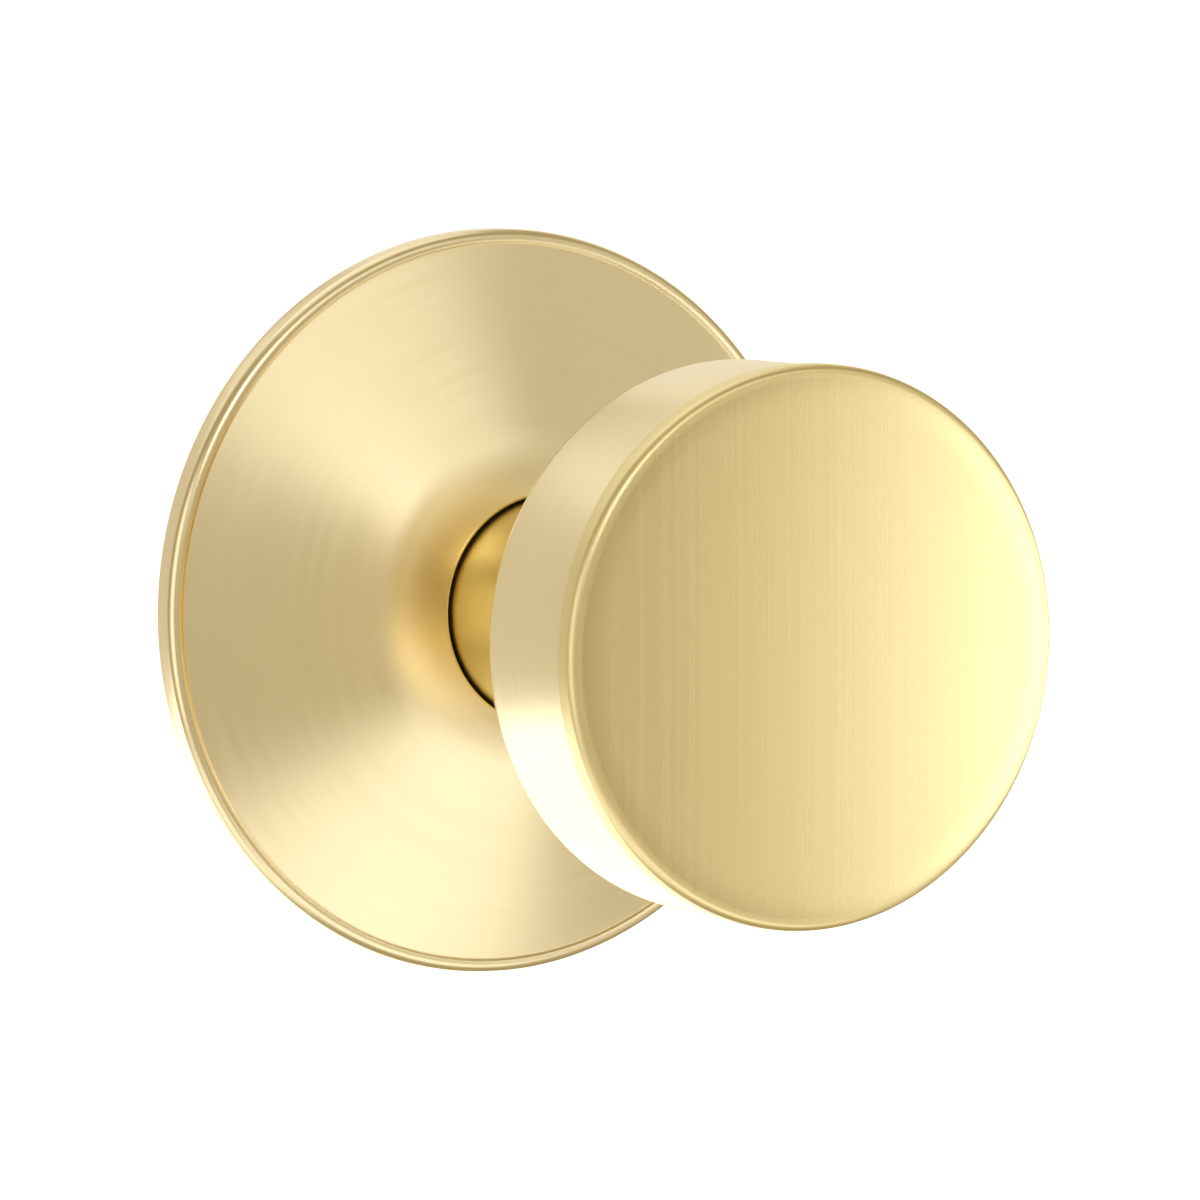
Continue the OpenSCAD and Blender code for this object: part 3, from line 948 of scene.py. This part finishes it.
class KNOB_OT_drive(Operator):
    """Turn the drive tube, hub, spindle, thrust washer and retaining ring"""

    bl_idname = "knob.drive"
    bl_label = "Drive"

    def tube(self):
        """Sleeve with a groove for the retaining ring and holes for the catch and the pin."""
        radius = half_width("drive_tube")
        bore = 7 * MM
        back = -depth("drive_tube")
        front = reach("drive_tube")
        groove = 7.7 * MM
        low = -11.98 * MM
        high = -11.02 * MM
        outline = [
            (bore, back, 0.25 * MM),
            (radius, back, 0.3 * MM),
            (radius, low, 0.05 * MM),
            (groove, low, 0.05 * MM),
            (groove, high, 0.05 * MM),
            (radius, high, 0.05 * MM),
            (radius, front, 0.25 * MM),
            (bore, front, 0.2 * MM),
        ]
        piece = turned("drive_tube_turned", rounded(outline, 3), 160)
        catch_hole(piece, 48)
        pin_hole(piece)
        tidy_mesh(piece)
        smooth(piece)
        dress(piece, "knob", "drive_tube", steel("tube_steel"))

    def spindle(self):
        """Bar with a flat along it, chamfered ends and a groove for breaking it off shorter."""
        radius = half_width("spindle")
        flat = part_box("spindle")[1].z
        back = -depth("spindle")
        front = reach("spindle")
        chamfer = 0.6 * MM
        groove = radius - 0.4 * MM
        low = -14.6 * MM
        high = -13.6 * MM
        outline = [
            (NEAR_AXIS, back, 0),
            (radius - chamfer, back, 0.15 * MM),
            (radius, back + chamfer, 0.15 * MM),
            (radius, low, 0.08 * MM),
            (groove, low, 0.15 * MM),
            (groove, high, 0.15 * MM),
            (radius, high, 0.08 * MM),
            (radius, front, 0.2 * MM),
            (NEAR_AXIS, front, 0),
        ]
        piece = turned("spindle_bar", rounded(outline, 3), 96, closed=False)
        combine(piece, block((10 * MM, 120 * MM, 4 * MM), (0, 0, flat + 2 * MM)))
        pin_hole(piece)
        tidy_mesh(piece)
        smooth(piece)
        dress(piece, "knob", "spindle", zinc("spindle_zinc"))

    def hub(self):
        """Insert with a D-shaped bore that holds the spindle."""
        radius = half_width("spindle_hub")
        half = reach("spindle_hub")
        outline = [
            (NEAR_AXIS, -half, 0),
            (radius, -half, 0.5 * MM),
            (radius, half, 0.5 * MM),
            (NEAR_AXIS, half, 0),
        ]
        piece = turned("spindle_hub_casting", rounded(outline, 4), 128, closed=False)
        seat = bar(4.0 * MM, -20 * MM, 20 * MM, sides=96)
        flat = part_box("spindle")[1].z + 0.05 * MM
        with editing(seat):
            bpy.ops.mesh.bisect(
                plane_co=(0, 0, flat), plane_no=(0, 0, 1), use_fill=True, clear_outer=True
            )
        combine(piece, seat)
        pin_hole(piece)
        tidy_mesh(piece)
        smooth(piece)
        dress(piece, "knob", "spindle_hub", casting("hub_casting"))

    def washer(self):
        radius = half_width("thrust_washer")
        back = -depth("thrust_washer")
        front = reach("thrust_washer")
        bore = 8.23 * MM
        outline = [
            (bore, back, 0.1 * MM),
            (radius, back, 0.15 * MM),
            (radius, front, 0.15 * MM),
            (bore, front, 0.1 * MM),
        ]
        piece = turned("thrust_washer_turned", rounded(outline, 3), 160)
        smooth(piece)
        dress(piece, "knob", "thrust_washer", bronze("washer_bronze"))

    def ring(self):
        """Open ring in the tube's groove, with its gap at the top."""
        radius = half_width("retaining_ring")
        back = -depth("retaining_ring")
        front = reach("retaining_ring")
        bore = 7.73 * MM
        edge = 0.12 * MM
        outline = [
            (bore, back, edge),
            (radius, back, edge),
            (radius, front, edge),
            (bore, front, edge),
        ]
        piece = turned("retaining_ring_stamped", rounded(outline, 3), 160)
        combine(piece, block((5 * MM, 3 * MM, 8 * MM), (0, (back + front) / 2, 10 * MM)))
        tidy_mesh(piece)
        smooth(piece)
        dress(piece, "knob", "retaining_ring", spring_wire("ring_wire"))

    def execute(self, context):
        self.tube()
        self.spindle()
        self.hub()
        self.washer()
        self.ring()
        return {"FINISHED"}


class KNOB_OT_springs(Operator):
    """Coil the return spring and the catch's spring"""

    bl_idname = "knob.springs"
    bl_label = "Springs"

    def return_spring(self, material):
        """Four turns, with one leg in the cage's floor and one in the driver."""
        wire, bend = 0.5 * MM, 0.8 * MM
        low, high = -8.1 * MM, -2.75 * MM
        lead = math.degrees(bend / SPRING_RADIUS)
        piece = coil("return_spring_coil", SPRING_RADIUS, wire, 4 - 2 * lead / 360, low, high, 48, 16)
        bend_leg(piece, low, wire, bend, 1.6 * MM - bend, -1)
        turn_all(piece, 2 * lead)
        bend_leg(piece, high, wire, bend, 1.85 * MM - bend, 1)
        turn_all(piece, -lead)
        close_ends(piece)
        smooth(piece, 50)
        dress(piece, "root", "return_spring", material)
        piece.parent = None
        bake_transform(piece)

    def catch_spring(self, material):
        """Small compression spring that pushes the catch out through the neck."""
        piece = coil("catch_spring_coil", 1.6 * MM, 0.25 * MM, 7, -6.4 * MM, 4.3 * MM, 28, 10)
        close_ends(piece)
        piece.rotation_euler.x = math.pi / 2
        piece.location.y = -CATCH_OUT
        pick(piece)
        bpy.ops.object.transform_apply()
        smooth(piece, 50)
        dress(piece, "knob", "catch_spring", material)
        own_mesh(piece)

    def execute(self, context):
        material = spring_wire("spring_wire")
        self.return_spring(material)
        self.catch_spring(material)
        return {"FINISHED"}


class KNOB_OT_inner(Operator):
    """Give the hidden pieces that keep their CAD shape their finishes"""

    bl_idname = "knob.inner"
    bl_label = "Inner pieces"

    def execute(self, context):
        machined = steel("inner_steel")
        finishes = {
            "hub_bush": bronze("bush_bronze"),
            "knob_shank": machined,
            "knob_core": machined,
            "spring_driver": machined,
            "spindle_pin": spring_wire("pin_wire"),
            "knob_catch": machined,
        }
        for name, finish in finishes.items():
            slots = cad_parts[name].data.materials
            slots.clear()
            slots.append(finish)
        return {"FINISHED"}


def direction(azimuth, elevation):
    """Unit vector away from the knob: azimuth is 0 in front of the door and grows towards +X."""
    level = math.cos(elevation)
    return Vector((math.sin(azimuth) * level, -math.cos(azimuth) * level, math.sin(elevation)))


class KNOB_OT_studio(Operator):
    """Set up the floor, the soft lights and the camera"""

    bl_idname = "knob.studio"
    bl_label = "Studio"

    def softbox(self, name, azimuth, elevation, distance, size, power):
        """Soft panel that faces the knob; angles in degrees, power in watts."""
        way = direction(math.radians(azimuth), math.radians(elevation))
        bpy.ops.object.light_add(
            type="AREA",
            location=Vector((0, -30 * MM, 0)) + way * distance,
            rotation=way.to_track_quat("Z", "Y").to_euler(),
        )
        panel = bpy.context.object
        panel.name = name
        panel.visible_camera = False
        panel.data.shape = "RECTANGLE"
        panel.data.size, panel.data.size_y = size
        panel.data.energy = power
        panel.data.color = PANEL_COLOUR

    def air(self, scene):
        """White to look at, dim and warm as light."""
        world = bpy.data.worlds.new("studio_air")
        scene.world = world
        world.use_nodes = True
        tree = world.node_tree
        backdrop = tree.nodes["Background"]
        backdrop.inputs["Color"].default_value = WHITE
        room = tree.nodes.new("ShaderNodeBackground")
        room.inputs["Color"].default_value = ROOM_COLOUR
        room.inputs["Strength"].default_value = ROOM_STRENGTH
        seen = tree.nodes.new("ShaderNodeLightPath")
        either = tree.nodes.new("ShaderNodeMixShader")
        tree.links.new(seen.outputs["Is Camera Ray"], either.inputs[0])
        tree.links.new(room.outputs[0], either.inputs[1])
        tree.links.new(backdrop.outputs[0], either.inputs[2])
        tree.links.new(either.outputs[0], tree.nodes["World Output"].inputs["Surface"])
        scene.view_settings.view_transform = "Standard"

    def floor(self, height):
        """Pale floor, lit evenly so that it stays clear of the brass's reflections."""
        pick()
        bpy.ops.mesh.primitive_plane_add(size=60, location=(0, 0, height))
        floor = bpy.context.object
        floor.name = "studio_floor"
        shader = Shader("floor_paint")
        x, y, _ = shader.place()
        mottle = shader.noise(shader.vector(x * 30, y * 30, 0), 2.0)
        paint = shader.mix(mottle, (0.90, 0.90, 0.90, 1), (0.93, 0.93, 0.93, 1))
        floor.data.materials.append(
            shader.surface(
                Base_Color=paint, Roughness=0.9, Emission_Color=WHITE, Emission_Strength=1.0
            )
        )
        floor.visible_glossy = False
        floor.visible_diffuse = False
        floor.visible_shadow = False

    def camera(self, studio):
        """Long lens from the left and a little above."""
        back = direction(studio.azimuth, studio.elevation)
        right = Vector((math.cos(studio.azimuth), math.sin(studio.azimuth), 0))
        bpy.ops.object.camera_add(
            location=back * studio.distance + right * studio.sideways,
            rotation=(-back).to_track_quat("-Z", "Y").to_euler(),
        )
        camera = bpy.context.object
        camera.name = "studio_camera"
        camera.data.lens = studio.lens
        camera.data.sensor_width = 36
        camera.data.clip_start = 0.05
        camera.data.clip_end = 100
        return camera

    def execute(self, context):
        studio = context.scene.studio
        self.floor(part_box("rose")[0].z - studio.floor_drop)
        for name, panel in PANELS.items():
            self.softbox(name, *panel)
        self.air(context.scene)
        context.scene.camera = self.camera(studio)
        return {"FINISHED"}


class KNOB_PT_panel(Panel):
    """Lists the knob's pieces"""

    bl_label = "Door Knob"
    bl_idname = "KNOB_PT_panel"
    bl_space_type = "VIEW_3D"
    bl_region_type = "UI"
    bl_category = "Door Knob"

    def draw(self, context):
        for operator in OPERATORS:
            self.layout.operator(operator.bl_idname)


OPERATORS = (
    KNOB_OT_rose,
    KNOB_OT_drum,
    KNOB_OT_chassis,
    KNOB_OT_drive,
    KNOB_OT_springs,
    KNOB_OT_inner,
    KNOB_OT_studio,
)
GROUPS = {
    "rose_sizes": RoseSizes,
    "drum_sizes": DrumSizes,
    "finish": FinishSettings,
    "studio": StudioSettings,
}


def register():
    for group in GROUPS.values():
        bpy.utils.register_class(group)
    for name, group in GROUPS.items():
        setattr(bpy.types.Scene, name, PointerProperty(type=group))
    for made in (*OPERATORS, KNOB_PT_panel):
        bpy.utils.register_class(made)


def unregister():
    for made in (KNOB_PT_panel, *reversed(OPERATORS)):
        bpy.utils.unregister_class(made)
    for name, group in GROUPS.items():
        delattr(bpy.types.Scene, name)
        bpy.utils.unregister_class(group)


def main():
    register()
    for operator in OPERATORS:
        area, name = operator.bl_idname.split(".")
        getattr(getattr(bpy.ops, area), name)()


if __name__ == "__main__":
    main()
